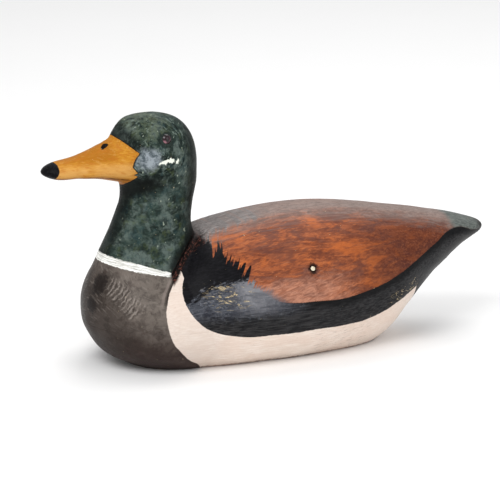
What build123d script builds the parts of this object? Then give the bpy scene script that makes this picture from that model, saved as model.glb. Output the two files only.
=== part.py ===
from build123d import *
from math import cos, radians, sin, tan
import os

# Hand-carved hollow duck decoy, in millimetres.
# The bill points along -Y, the tail along +Y and +Z is up. The origin is on the flat
# bottom, midway between the bill tip and the tail tip.
# The body is two hollowed wooden blocks joined at a level seam. Head, neck and bill are
# one carved block, let into the upper body on a seat that slopes down to the rear.

# Ends of the carved shape
BILL_TIP_Y = -200.0
BILL_TIP_Z = 168.5
TAIL_TIP_Y = 200.0
TAIL_TIP_Z = 80.5
CROWN_Y = -100.0
CROWN_Z = 209.5

# Joints between the blocks
SEAM_Z = 38.0              # level seam between lower and upper body
SEAT_Y = -134.0            # the neck seat crosses SEAT_Z here
SEAT_Z = 88.5
SEAT_SLOPE = 13.5          # degrees, down to the rear
BOX = 500.0                # larger than the decoy, for cutting

# Hollow
WALL = 18.0                # side wall
ROOF = 16.0                # wood left above the hollow
FLOOR_Z = 18.0             # top of the solid floor
HOLLOW_FRONT = -70.0
HOLLOW_REAR = 110.0
NECK_WOOD_Z = 60.0         # underside of the wood that carries the neck seat
NECK_HOLLOW_Y = -76.0      # centre of the hollow below that wood
NECK_HOLLOW_HALF = (38.0, 44.0)

# Body cross-sections, square to Y: station, keel z, half width, z of the half width,
# top z. Whatever is below z = 0 is planed off to make the flat bottom.
BODY_STATIONS = [
    (-128.0, 8.0, 40.0, 38.0, 58.0),
    (-112.0, 1.0, 53.0, 41.0, 71.0),
    (-95.0, -5.0, 62.0, 44.0, 87.0),
    (-82.0, -9.0, 66.5, 45.0, 99.0),
    (-68.0, -11.0, 69.5, 46.0, 106.5),
    (-45.0, -12.0, 72.0, 46.0, 112.0),
    (-12.0, -12.0, 73.5, 46.0, 116.3),
    (22.0, -12.0, 72.5, 48.0, 117.8),
    (55.0, -12.0, 67.5, 52.0, 116.2),
    (82.0, -8.5, 61.5, 57.0, 112.6),
    (104.0, 3.5, 55.0, 63.0, 108.5),
    (124.0, 22.0, 46.5, 70.5, 105.0),
    (144.0, 41.5, 37.5, 77.5, 101.0),
    (162.0, 57.0, 29.2, 82.0, 97.0),
    (178.0, 67.5, 21.5, 84.0, 92.8),
    (191.0, 73.0, 14.0, 83.5, 88.7),
    (197.5, 76.5, 8.5, 82.5, 85.8),
]

# Breast, neck and head, as level ellipses: z, front y, back y, half width.
NECK_LEVELS = [
    (-6.0, -110.0, -42.0, 32.0),
    (0.0, -124.5, -35.0, 40.5),
    (6.0, -137.0, -30.0, 48.5),
    (14.0, -148.0, -24.0, 56.5),
    (25.0, -155.5, -20.0, 64.0),
    (35.0, -160.0, -18.0, 66.5),
    (45.0, -161.5, -17.0, 67.0),
    (55.0, -161.5, -20.0, 64.5),
    (65.0, -160.0, -30.0, 57.5),
    (75.0, -157.0, -42.0, 47.5),
    (85.0, -152.5, -54.0, 38.5),
    (95.0, -148.2, -62.0, 33.5),
    (105.0, -143.2, -66.0, 30.5),
    (115.0, -138.4, -69.0, 28.0),
    (126.0, -134.2, -68.3, 25.5),
    (138.0, -130.2, -66.3, 24.0),
    (148.0, -129.8, -64.0, 24.0),
    (158.0, -131.5, -63.5, 25.0),
    (168.0, -133.5, -63.5, 26.0),
    (178.0, -136.5, -64.5, 26.0),
    (187.0, -139.0, -67.0, 24.5),
    (195.0, -138.6, -71.5, 22.0),
    (202.0, -134.2, -78.5, 17.5),
    (206.5, -126.2, -87.5, 12.0),
    (208.8, -114.5, -96.5, 5.5),
]

# Bill cross-sections, square to Y, in the same terms as the body's.
BILL_STATIONS = [
    (-104.0, 156.0, 18.0, 172.0, 190.0),
    (-120.0, 153.0, 19.5, 169.5, 194.5),
    (-132.0, 154.0, 18.5, 168.0, 194.0),
    (-142.0, 156.5, 16.5, 167.0, 190.2),
    (-153.0, 159.0, 14.8, 166.5, 185.3),
    (-165.0, 160.3, 13.8, 166.8, 181.0),
    (-178.0, 161.0, 13.3, 167.2, 178.0),
    (-188.0, 161.8, 12.0, 167.6, 176.4),
    (-195.0, 164.2, 8.5, 168.2, 174.0),
    (-198.6, 166.3, 4.5, 168.5, 171.4),
]

# Eyes: glass domes bedded in putty
EYE_Y = -99.0
EYE_Z = 190.5
EYE_R = 5.0
EYE_PROUD = 1.6            # how far the glass stands out of the wood
SOCKET_R = 5.8
SOCKET_DEPTH = 6.5

# Neck joint
SCREW_Y = -104.0
SCREW_R = 2.5
SCREW_HEAD_R = 5.0
SCREW_HEAD_T = 3.2
SCREW_LEN = 75.0
WASHER_R = 9.0
WASHER_T = 1.6
NECK_DOWEL_R = 5.0
NECK_DOWEL_LEN = 32.0
NECK_DOWEL_BELOW = 15.0    # length below the seat
NECK_DOWEL_YS = (-127.0, -82.0)

# Dowels and nails between the body blocks
DOWEL_R = 4.0
DOWEL_LOW_Z = 26.0
DOWEL_LEN = 24.0
DOWEL_SPOTS = [(0.0, -139.0), (0.0, 116.0), (61.0, -30.0), (-61.0, -30.0)]
NAIL_SPOTS = [(58.0, -60.0), (63.0, 34.0), (49.5, 76.0)]
NAIL_R = 1.4
NAIL_HEAD_R = 2.6
NAIL_HEAD_T = 1.2
NAIL_TIP_Z = 27.0
NAIL_SET_R = 3.0           # hole that the head is set into
NAIL_SET_DEPTH = 9.0       # below the surface, on the nail's axis

# Brad driven square into the left flank, its head in a small open pit
BRAD_Y = 12.9
BRAD_Z = 80.0
BRAD_TILT = 28.5           # degrees above level
BRAD_R = 0.8
BRAD_LEN = 12.0
BRAD_HEAD_R = 1.9
BRAD_HEAD_T = 0.8
BRAD_SUNK = 0.2            # top of the head below the surface
PIT_R = 2.6

# Ballast let into the bottom
BALLAST_L = 100.0
BALLAST_W = 38.0
BALLAST_T = 7.0
BALLAST_CORNER = 5.0
BALLAST_INSET = 0.5        # above the bottom face
BALLAST_Y = -8.0
BALLAST_SCREW_PITCH = 70.0
BALLAST_SCREW_R = 1.8
BALLAST_SCREW_HEAD_R = 3.6
BALLAST_SCREW_LEN = 14.0

# Line tie under the breast
TIE_Y = -96.0
TIE_POCKET_W = 24.0
TIE_POCKET_L = 30.0
TIE_POCKET_DEPTH = 22.0
TIE_POCKET_CORNER = 6.0
STAPLE_WIRE_R = 1.5
STAPLE_HALF = 6.0          # half the span between the legs
STAPLE_Z = 13.0            # axis of the crown
STAPLE_BEND = 2.5
STAPLE_TOP_Z = 34.0
RING_R = 6.5
RING_WIRE_R = 1.5
RING_PLAY = 0.05

FIT = 0.1                  # clearance round a glued or driven piece
STEP_DEG = 18              # spacing of the points round a section
UP = (Align.CENTER, Align.CENTER, Align.MIN)


def section(y, keel, half, mid, top):
    """One closed body or bill cross-section, square to Y."""
    points = []
    for degrees in range(-90, 91, STEP_DEG):
        span = mid - keel if degrees < 0 else top - mid
        points.append(Vector(half * cos(radians(degrees)), y, mid + span * sin(radians(degrees))))
    left = Edge.make_spline(points, tangents=[Vector(1, 0, 0), Vector(-1, 0, 0)])
    return Face(Wire([left, left.mirror(Plane.YZ)]))


def level(z, front, back, half):
    """One level ellipse of the breast, neck and head."""
    return Plane(origin=(0, (front + back) / 2, z)) * Ellipse(half, (back - front) / 2)


def rod(radius, length, x, y, z):
    """An upright cylinder standing on z."""
    return Pos(x, y, z) * Cylinder(radius, length, align=UP)


def slab(low, high):
    """Everything between two heights."""
    return Pos(0, 0, low) * Box(BOX, BOX, high - low, align=UP)


def above_seat():
    """Everything above the sloping neck seat."""
    return Pos(0, SEAT_Y, SEAT_Z) * Rot(-SEAT_SLOPE, 0, 0) * Box(BOX, BOX, BOX, align=UP)


def seat_height(y):
    """Height of the neck seat on the centre plane."""
    return SEAT_Z - (y - SEAT_Y) * tan(radians(SEAT_SLOPE))


def mirrored(spots):
    """Each spot and its mirror image across the centre plane."""
    return spots + [(-x, y) for x, y in spots]


def hollow():
    """The hollow inside the body, as carved by gouge from both blocks."""
    stations = []
    for y, keel, half, mid, top in BODY_STATIONS:
        if HOLLOW_FRONT < y < HOLLOW_REAR:
            stations.append(section(y, FLOOR_Z, half - WALL, mid, top - ROOF))
    under_neck = Ellipse(*NECK_HOLLOW_HALF)
    under_neck = Pos(0, NECK_HOLLOW_Y, SEAM_Z) * extrude(under_neck, NECK_WOOD_Z - SEAM_Z)
    return loft(stations) + under_neck


def rounded_block(length, width, height, corner, y, z):
    """A block with rounded upright corners, standing on z."""
    return Pos(0, y, z) * extrude(RectangleRounded(width, length, corner), height)


def surface_x(solid, y, z):
    """Outside of a solid, measured along X through (y, z)."""
    probe = Pos(BOX / 2, y, z) * Box(BOX, FIT, FIT)
    return (solid & probe).bounding_box().max.X


def surface_z(solid, x, y):
    """Top of a solid above (x, y)."""
    return (solid & (Pos(x, y, BOX / 2) * Box(FIT, FIT, BOX))).bounding_box().max.Z


def eye(side, skin):
    """Glass dome with a flat back, at one side of the head."""
    ball = Pos(skin + EYE_PROUD - EYE_R, EYE_Y, EYE_Z) * Sphere(EYE_R)
    front = Pos(skin + EYE_PROUD, EYE_Y, EYE_Z) * Box(2 * EYE_R, BOX, BOX)
    dome = ball & front
    return dome if side > 0 else dome.mirror(Plane.YZ)


def eye_socket(skin):
    """Drilled hole behind the left eye."""
    drill = Rot(0, 90, 0) * Cylinder(SOCKET_R, BOX / 2, align=UP)
    return Pos(skin - SOCKET_DEPTH, EYE_Y, EYE_Z) * drill


def nail(x, y, top):
    """A finishing nail driven straight down."""
    shank = rod(NAIL_R, top - NAIL_TIP_Z, x, y, NAIL_TIP_Z)
    return shank + rod(NAIL_HEAD_R, NAIL_HEAD_T, x, y, top - NAIL_HEAD_T)


def brad(shank_r, head_r, head_t):
    """A brad with the outside of its head at the origin, pointing down."""
    shank = Pos(0, 0, -BRAD_LEN) * Cylinder(shank_r, BRAD_LEN, align=UP)
    return shank + Pos(0, 0, -head_t) * Cylinder(head_r, head_t, align=UP)


def wood_screw(radius, head_radius, head_thick, length):
    """A wood screw on the Z axis, head at the bottom and point up."""
    head = Cone(head_radius, radius, head_thick, align=UP)
    shank = Cylinder(radius, length - 2 * radius, align=UP)
    point = Pos(0, 0, length - 2 * radius) * Cone(radius, radius / 4, 2 * radius, align=UP)
    return head + shank + point


def head_screw():
    """Long screw from inside the hollow up into the neck."""
    base = NECK_WOOD_Z - WASHER_T - SCREW_HEAD_T
    head = rod(SCREW_HEAD_R, SCREW_HEAD_T, 0, SCREW_Y, base)
    return head + rod(SCREW_R, SCREW_LEN + SCREW_HEAD_T, 0, SCREW_Y, base)


def staple():
    """Wire staple whose crown crosses the pocket."""
    path = FilletPolyline(
        (-STAPLE_HALF, TIE_Y, STAPLE_TOP_Z),
        (-STAPLE_HALF, TIE_Y, STAPLE_Z),
        (STAPLE_HALF, TIE_Y, STAPLE_Z),
        (STAPLE_HALF, TIE_Y, STAPLE_TOP_Z),
        radius=STAPLE_BEND,
    )
    profile = Plane(origin=path @ 0, z_dir=path % 0) * Circle(STAPLE_WIRE_R)
    return sweep(profile, path=path)


def tie_ring():
    """Loose ring hanging on the crown of the staple."""
    drop = RING_R - RING_WIRE_R - STAPLE_WIRE_R - RING_PLAY
    return Pos(0, TIE_Y, STAPLE_Z - drop) * Rot(0, 90, 0) * Torus(RING_R, RING_WIRE_R)


# Carved outside
body_shape = loft([section(*s) for s in BODY_STATIONS] + [Vertex(0, TAIL_TIP_Y, TAIL_TIP_Z)])
neck_shape = loft([level(*n) for n in NECK_LEVELS] + [Vertex(0, CROWN_Y, CROWN_Z)])
bill_shape = loft([section(*s) for s in BILL_STATIONS] + [Vertex(0, BILL_TIP_Y, BILL_TIP_Z)])
neck_block = neck_shape & above_seat()
head_shape = neck_block + bill_shape
breast = neck_shape - above_seat()
body_outside = (body_shape + breast - neck_block) & slab(0, BOX)

parts = {}

# Eyes and their bedding
skin = surface_x(neck_shape, EYE_Y, EYE_Z)
parts["left_eye"] = eye(1, skin)
parts["right_eye"] = eye(-1, skin)
socket = eye_socket(skin)
left_putty = (head_shape & socket) - parts["left_eye"]
parts["eye_putty"] = Compound(children=[left_putty, left_putty.mirror(Plane.YZ)])

# Neck joint
screw_hole = rod(SCREW_R + FIT, SCREW_LEN + FIT, 0, SCREW_Y, NECK_WOOD_Z - WASHER_T)
neck_dowels = []
neck_dowel_holes = []
for y in NECK_DOWEL_YS:
    foot = seat_height(y) - NECK_DOWEL_BELOW
    neck_dowels.append(rod(NECK_DOWEL_R, NECK_DOWEL_LEN, 0, y, foot))
    neck_dowel_holes.append(rod(NECK_DOWEL_R + FIT, NECK_DOWEL_LEN, 0, y, foot))
parts["neck_dowels"] = Compound(children=neck_dowels)
parts["head_screw"] = head_screw()
washer = rod(WASHER_R, WASHER_T, 0, SCREW_Y, NECK_WOOD_Z - WASHER_T)
parts["head_screw_washer"] = washer - screw_hole
parts["head"] = head_shape - socket - socket.mirror(Plane.YZ) - screw_hole - neck_dowel_holes

# Body joint
body_dowels = [rod(DOWEL_R, DOWEL_LEN, x, y, DOWEL_LOW_Z) for x, y in DOWEL_SPOTS]
dowel_holes = [rod(DOWEL_R + FIT, DOWEL_LEN, x, y, DOWEL_LOW_Z) for x, y in DOWEL_SPOTS]
parts["body_dowels"] = Compound(children=body_dowels)
nails = []
fillers = []
nail_holes = []
for x, y in mirrored(NAIL_SPOTS):
    head_top = surface_z(body_outside, abs(x), y) - NAIL_SET_DEPTH
    nails.append(nail(x, y, head_top))
    nail_holes.append(rod(NAIL_R + FIT, head_top - NAIL_TIP_Z, x, y, NAIL_TIP_Z))
    bore = rod(NAIL_SET_R, BOX, x, y, head_top)
    nail_holes.append(rod(NAIL_SET_R, BOX, x, y, head_top - NAIL_HEAD_T))
    fillers.append(body_outside & bore)
parts["body_nails"] = Compound(children=nails)
parts["nail_fillers"] = Compound(children=fillers)
tilt = radians(BRAD_TILT)
flank = Plane(
    origin=(surface_x(body_outside, BRAD_Y, BRAD_Z), BRAD_Y, BRAD_Z), z_dir=(cos(tilt), 0, sin(tilt))
)
parts["side_brad"] = flank * Pos(0, 0, -BRAD_SUNK) * brad(BRAD_R, BRAD_HEAD_R, BRAD_HEAD_T)
brad_pit = flank * Pos(0, 0, -BRAD_SUNK) * brad(BRAD_R + FIT, PIT_R, BRAD_HEAD_T)
brad_pit += flank * Pos(0, 0, -BRAD_SUNK - BRAD_HEAD_T) * Cylinder(PIT_R, PIT_R * 2, align=UP)

# Ballast
half_pitch = BALLAST_SCREW_PITCH / 2
screw = wood_screw(BALLAST_SCREW_R, BALLAST_SCREW_HEAD_R, BALLAST_SCREW_HEAD_R / 2, BALLAST_SCREW_LEN)
ballast_screws = [Pos(0, BALLAST_Y + s * half_pitch, BALLAST_INSET) * screw for s in (-1, 1)]
parts["ballast_screws"] = Compound(children=ballast_screws)
ballast = rounded_block(BALLAST_L, BALLAST_W, BALLAST_T, BALLAST_CORNER, BALLAST_Y, BALLAST_INSET)
parts["ballast_weight"] = ballast - ballast_screws
ballast_recess = rounded_block(
    BALLAST_L + 2 * FIT, BALLAST_W + 2 * FIT, BALLAST_T + BALLAST_INSET, BALLAST_CORNER, BALLAST_Y, 0
)

# Line tie
parts["line_tie_staple"] = staple()
parts["line_tie_ring"] = tie_ring()
tie_pocket = rounded_block(
    TIE_POCKET_L, TIE_POCKET_W, TIE_POCKET_DEPTH, TIE_POCKET_CORNER, TIE_Y, 0
)
leg_length = STAPLE_TOP_Z - TIE_POCKET_DEPTH
leg_holes = [
    rod(STAPLE_WIRE_R + FIT, leg_length, s * STAPLE_HALF, TIE_Y, TIE_POCKET_DEPTH) for s in (-1, 1)
]

# Hollowed body blocks
cavity = hollow()
upper = (body_outside & slab(SEAM_Z, BOX)) - cavity - screw_hole - neck_dowel_holes
parts["upper_body"] = upper - dowel_holes - nail_holes - brad_pit
lower = (body_outside & slab(0, SEAM_Z)) - cavity - dowel_holes - nail_holes
lower = lower - ballast_recess - ballast_screws - tie_pocket - leg_holes
parts["lower_body"] = lower

os.makedirs("parts", exist_ok=True)
for name, shape in parts.items():
    export_step(shape, f"parts/{name}.step")
    print(name, len(shape.solids()), round(shape.volume / 1000, 2), "cm3")
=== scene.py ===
from math import cos, pi, radians, sin

import bmesh
import bpy
import numpy as np
from mathutils import Matrix, Vector


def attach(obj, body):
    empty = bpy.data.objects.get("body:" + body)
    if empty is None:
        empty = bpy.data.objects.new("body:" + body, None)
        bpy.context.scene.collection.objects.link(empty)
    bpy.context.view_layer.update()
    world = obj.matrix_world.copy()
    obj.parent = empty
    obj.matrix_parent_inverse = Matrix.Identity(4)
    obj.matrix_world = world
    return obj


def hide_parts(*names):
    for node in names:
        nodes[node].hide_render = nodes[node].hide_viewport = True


# Painted duck decoy. The bill points along -Y and the duck's left side is at +X.
# The three carved blocks are rebuilt as one fine skin with hand-carved unevenness and
# then cut apart at the joints, so that wood and paint run on across each joint.

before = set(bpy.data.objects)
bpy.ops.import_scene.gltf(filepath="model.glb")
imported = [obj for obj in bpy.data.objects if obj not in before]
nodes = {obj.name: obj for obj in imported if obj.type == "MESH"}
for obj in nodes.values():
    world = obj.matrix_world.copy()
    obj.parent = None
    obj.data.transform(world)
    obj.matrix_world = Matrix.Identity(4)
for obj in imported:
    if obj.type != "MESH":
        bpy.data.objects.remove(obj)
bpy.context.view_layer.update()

MM = 0.001
VOXEL = 1.25 * MM
SANDING_PASSES = 12

# Places and sizes on the decoy, in millimetres and degrees.
SEAM_Z = 38.0                     # joint of the two body blocks
SEAT_Y, SEAT_Z = -134.0, 88.5     # a point of the neck seat
SEAT_SLOPE = 13.5                 # the neck seat drops to the rear
CREASE_Y, CREASE_Z = -99.0, 84.5  # a point of the joint behind the neck
CREASE_SLOPE = 39.5               # that joint climbs to the rear
CREASE_LEAN = 0.77                # distance from it, for each millimetre above it
EYE_Y, EYE_Z = -99.0, 190.5
SOCKET_R = 5.85
NOSTRIL_Y, NOSTRIL_Z = -146.0, 186.0
NOSTRIL_RUN = (0.88, 0.47)        # the slit's direction, as (y, z)
BRAD = (64.55, 12.9, 80.0)        # middle of the brad's head
BRAD_TILT = 28.5                  # its axis points this much above level
PIT_R = 2.6                       # the dark pit that it sits in
# Openings in the flat bottom: half width, half length, depth, corner radius, middle along Y.
POCKET = (12.0, 15.0, 22.0, 6.0, -96.0)
RECESS = (19.2, 50.2, 7.5, 5.2, -8.0)
STAPLE_X, STAPLE_HOLE_R = 6.0, 1.56
# Nail fillers of the left side as (x, y). The right side mirrors them.
FILLERS = [(58.0, -60.0), (63.0, 34.0), (49.5, 76.0)]
FILLER_REACH = 6.0
FILLER_PRESSED = 0.3              # share of its height that a filler keeps
# Joint between the neck and the shoulders, as (y, z).
CREASE = [
    (-108, 78.0), (-102, 82.0), (-99, 84.4), (-93.6, 89.6),
    (-87, 95.6), (-80, 101.0), (-71.3, 105.8), (-62, 108.5),
]
# Turns an outline drawn in (y, z), so that it runs across the bird along X.
ACROSS = Matrix(((0, 0, 1, 0), (1, 0, 0, 0), (0, 1, 0, 0), (0, 0, 0, 1)))

# The carving: depths, places and reaches in millimetres, and the number of dents.
TAKEN_OFF, FLATS, TOOL_MARKS, RIPPLE = 0.32, 0.17, 0.055, 0.035
DENTS, DENT_REACH, DENT_DEPTH = 70, (1.6, 4.5), (0.08, 0.35)
GAP_DEPTH, GAP_WIDTH = 0.85, 1.2
STERN_HOLLOW = 1.4
EYELID_LIFT, EYELID_R, EYELID_WIDTH = 0.35, 6.6, 1.3
NOSTRIL_DEPTH, NOSTRIL_HALF_LENGTH, NOSTRIL_HALF_WIDTH = 1.5, 3.3, 1.3
FOREHEAD_LEAN, FOREHEAD_Z, FOREHEAD_REACH = 1.7, 198.0, 7.0
WAIST_DEPTH, WAIST_Z, WAIST_REACH = 0.8, 174.5, 4.0


# ---------------------------------------------------------------- noise for the carving

def lattice(cell, seed):
    """A repeatable random number from -1 to 1 for each whole-number cell."""
    # Large odd factors and shifts scatter the bits of the cell's numbers.
    c = cell.astype(np.int64)
    h = c[:, 0] * 374761393 + c[:, 1] * 668265263 + c[:, 2] * 2147483647 + seed * 144269
    h = (h ^ (h >> 13)) * 1274126177
    h = h & 0xFFFFFFFF
    h = (h ^ (h >> 16)) & 0xFFFF
    return h / 32767.5 - 1.0


def noise(p, seed=0):
    """Smooth value noise from -1 to 1, one unit between its random values."""
    base = np.floor(p)
    t = p - base
    t = t * t * (3 - 2 * t)
    total = np.zeros(len(p))
    for corner in range(8):
        step = np.array([corner & 1, corner >> 1 & 1, corner >> 2 & 1])
        weight = np.prod(np.where(step, t, 1 - t), axis=1)
        total += weight * lattice(base + step, seed)
    return total


def smooth(low, high, value):
    t = np.clip((value - low) / (high - low), 0, 1)
    return t * t * (3 - 2 * t)


# ---------------------------------------------------------------- meshes

def new_object(name, data):
    ob = bpy.data.objects.new(name, data)
    bpy.context.scene.collection.objects.link(ob)
    return ob


def evaluated_mesh(ob):
    bpy.context.view_layer.update()
    return bpy.data.meshes.new_from_object(ob.evaluated_get(bpy.context.evaluated_depsgraph_get()))


def with_modifiers(mesh, *modifiers):
    """The mesh with modifiers, each (type, {setting: value}), applied to it."""
    ob = new_object("work", mesh)
    for kind, settings in modifiers:
        modifier = ob.modifiers.new(kind, kind)
        for key, value in settings.items():
            setattr(modifier, key, value)
    result = evaluated_mesh(ob)
    bpy.data.objects.remove(ob)
    return result


def coords(mesh):
    co = np.zeros(len(mesh.vertices) * 3)
    mesh.vertices.foreach_get("co", co)
    return co.reshape(-1, 3)


def normals(mesh):
    n = np.zeros(len(mesh.vertices) * 3)
    mesh.vertices.foreach_get("normal", n)
    return n.reshape(-1, 3)


def push(mesh, millimetres):
    """Moves each vertex along its normal, outwards where the number is positive."""
    co = coords(mesh) + normals(mesh) * (np.asarray(millimetres) * MM)[:, None]
    mesh.vertices.foreach_set("co", co.ravel())
    mesh.update()


def shade(mesh):
    mesh.polygons.foreach_set("use_smooth", [True] * len(mesh.polygons))
    mesh.update()


def whole_skin():
    """All the carved wood as one closed skin, with the openings from outside filled."""
    bm = bmesh.new()
    wood = ("upper_body", "lower_body", "head")
    for name in wood + ("nail_fillers", "eye_putty", "left_eye", "right_eye"):
        bm.from_mesh(nodes[name].data)
    # Each opening is filled a little past its walls.
    for half_w, half_l, depth, corner, y in (POCKET, RECESS):
        add_block(bm, half_w + 2, half_l + 2, depth + 3, corner, y, 0.0)
    add_plug(bm)
    joined = bpy.data.meshes.new("skin")
    bm.to_mesh(joined)
    bm.free()
    skin = with_modifiers(
        joined,
        ("REMESH", {"mode": "VOXEL", "voxel_size": VOXEL}),
        ("SMOOTH", {"factor": 0.5, "iterations": 3}),
    )
    return largest_island(skin)


def add_prism(bm, outline, low, high, place=None):
    """Adds a closed prism: outline points (x, y) in millimetres, from low to high along Z."""
    place = place or Matrix.Identity(4)
    rings = [
        [bm.verts.new(place @ (Vector((x, y, z)) * MM)) for x, y in outline]
        for z in (low, high)
    ]
    count = len(outline)
    for i in range(count):
        j = (i + 1) % count
        bm.faces.new((rings[0][i], rings[0][j], rings[1][j], rings[1][i]))
    bm.faces.new(rings[0][::-1])
    bm.faces.new(rings[1])


def add_block(bm, half_w, half_l, depth, corner, y, below=2.0):
    """Adds a block with rounded upright corners, from below the flat bottom up to depth."""
    outline = []
    for sx, sy, start in ((1, 1, 0), (-1, 1, 90), (-1, -1, 180), (1, -1, 270)):
        turn_x, turn_y = sx * (half_w - corner), y + sy * (half_l - corner)
        for i in range(7):
            a = radians(start + 15 * i)
            outline.append((turn_x + corner * cos(a), turn_y + corner * sin(a)))
    add_prism(bm, outline, -below, depth)


def flank_place():
    """Place of the brad's pit: Z points out of the left flank."""
    tilt = radians(90 - BRAD_TILT)
    return Matrix.Translation(Vector(BRAD) * MM) @ Matrix.Rotation(tilt, 4, "Y")


def round_outline(radius, count=32, seed=0, rough=0.0):
    """Points of a circle, or of a ragged one where rough is above zero."""
    rng = np.random.default_rng(seed)
    radii = radius * (1 + rough * rng.uniform(-1, 1, count))
    return [(r * cos(2 * pi * i / count), r * sin(2 * pi * i / count)) for i, r in enumerate(radii)]


def add_plug(bm):
    """Fills the pit of the brad, so that it can be cut cleanly later."""
    add_prism(bm, round_outline(PIT_R + 1), -4.0, -0.3, flank_place())


def cutter(add_shape):
    bm = bmesh.new()
    add_shape(bm)
    bmesh.ops.recalc_face_normals(bm, faces=bm.faces[:])
    mesh = bpy.data.meshes.new("cutter")
    bm.to_mesh(mesh)
    bm.free()
    return mesh


def boolean(mesh, tool_mesh, operation="DIFFERENCE"):
    tool = new_object("tool", tool_mesh)
    settings = {"operation": operation, "solver": "MANIFOLD", "object": tool}
    result = with_modifiers(mesh, ("BOOLEAN", settings))
    bpy.data.objects.remove(tool)
    return result


def head_block(bm):
    """Room above the neck joint: down to the sloping seat, then up behind the neck."""
    fall = np.tan(radians(SEAT_SLOPE))
    rise = np.tan(radians(CREASE_SLOPE))
    # The seat and the joint behind the neck meet in the lowest line.
    low_y = (SEAT_Z - CREASE_Z + SEAT_Y * fall + CREASE_Y * rise) / (rise + fall)
    front, rear, half_width, top = -240.0, -54.0, 120.0, 240.0
    side_view = [
        (front, SEAT_Z - (front - SEAT_Y) * fall),
        (low_y, CREASE_Z + (low_y - CREASE_Y) * rise),
        (rear, CREASE_Z + (rear - CREASE_Y) * rise),
        (rear, top),
        (front, top),
    ]
    add_prism(bm, side_view, -half_width, half_width, ACROSS)


def lower_room(bm):
    """Room below the joint of the two body blocks."""
    add_block(bm, 150, 250, SEAM_Z, 5, 0)


def sockets(bm):
    """The holes for both eyes, from inside the head to well outside it."""
    inner, outer = 16.0, 60.0
    outline = [(EYE_Y + y, EYE_Z + z) for y, z in round_outline(SOCKET_R, 48)]
    add_prism(bm, outline, inner, outer, ACROSS)
    add_prism(bm, outline, -outer, -inner, ACROSS)


def pit(bm):
    """The ragged pit round the head of the brad."""
    add_prism(bm, round_outline(PIT_R, 28, 5, 0.16), -1.05, 8.0, flank_place())


def underside_holes(bm):
    """The tie pocket with the two holes of its staple, and the ballast recess."""
    add_block(bm, *POCKET)
    add_block(bm, *RECESS)
    for side in (-1, 1):
        hole = round_outline(STAPLE_HOLE_R, 20)
        outline = [(side * STAPLE_X + x, POCKET[4] + y) for x, y in hole]
        add_prism(bm, outline, 21.0, 34.0)


def largest_island(mesh):
    bm = bmesh.new()
    bm.from_mesh(mesh)
    bm.verts.ensure_lookup_table()
    seen = np.zeros(len(bm.verts), bool)
    best = []
    for start in bm.verts:
        if seen[start.index]:
            continue
        island = [start]
        seen[start.index] = True
        for v in island:
            for e in v.link_edges:
                w = e.other_vert(v)
                if not seen[w.index]:
                    seen[w.index] = True
                    island.append(w)
        if len(island) > len(best):
            best = island
    keep = set(best)
    bmesh.ops.delete(bm, geom=[v for v in bm.verts if v not in keep], context="VERTS")
    bm.to_mesh(mesh)
    bm.free()
    return mesh


# ---------------------------------------------------------------- carving

def sand(skin):
    """Runs the bill into the forehead with a soft hollow, and levels the nail fillers."""
    bm = bmesh.new()
    bm.from_mesh(skin)
    rub = [v for v in bm.verts if needs_sanding(v.co / MM)]
    for _ in range(SANDING_PASSES):
        bmesh.ops.smooth_vert(
            bm, verts=rub, factor=0.5, use_axis_x=True, use_axis_y=True, use_axis_z=True
        )
    bm.to_mesh(skin)
    bm.free()


def needs_sanding(p):
    root_of_bill = p.z > 148 and -143 < p.y < -122
    on_filler = p.z > 55 and any(np.hypot(abs(p.x) - x, p.y - y) < 5.0 for x, y in FILLERS)
    return root_of_bill or on_filler


def carve(skin):
    """Hand-carved unevenness: shallow flats, tool marks and dents."""
    shade(skin)
    p = coords(skin) / MM
    x, y, z = p.T
    flats = noise(p / (16, 34, 16), 1) + 0.6 * noise(p / (8, 17, 8), 2)
    tool = noise(p / (3.2, 13, 3.2), 3)
    ripple = noise(p / (5.0, 5.0, 5.0), 4)
    depth = -TAKEN_OFF + FLATS * flats + TOOL_MARKS * tool + RIPPLE * ripple
    rng = np.random.default_rng(7)
    for spot in p[rng.integers(0, len(p), DENTS)]:
        reach = rng.uniform(*DENT_REACH)
        away = np.linalg.norm((p - spot) * (1, rng.uniform(0.35, 1.0), 1), axis=1)
        depth -= rng.uniform(*DENT_DEPTH) * (1 - smooth(0, reach, away))
    # The joint behind the neck is open a little.
    ys, zs = zip(*CREASE)
    gap = (z - np.interp(y, ys, zs)) * CREASE_LEAN
    near = smooth(-106, -101, y) * smooth(-60, -66, y) * (np.abs(x) < 44)
    depth -= GAP_DEPTH * near * np.exp(-((gap / GAP_WIDTH) ** 2))
    # The stern is hollowed a little under the tail.
    depth -= STERN_HOLLOW * smooth(98, 116, y) * smooth(165, 145, y) * smooth(64, 50, z)
    # The flat bottom stays flat where it stands.
    depth *= smooth(0.0, 1.2, z)
    push(skin, depth)
    co = coords(skin)
    co[:, 2] = np.maximum(co[:, 2], 0.0)
    skin.vertices.foreach_set("co", co.ravel())
    skin.update()


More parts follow.
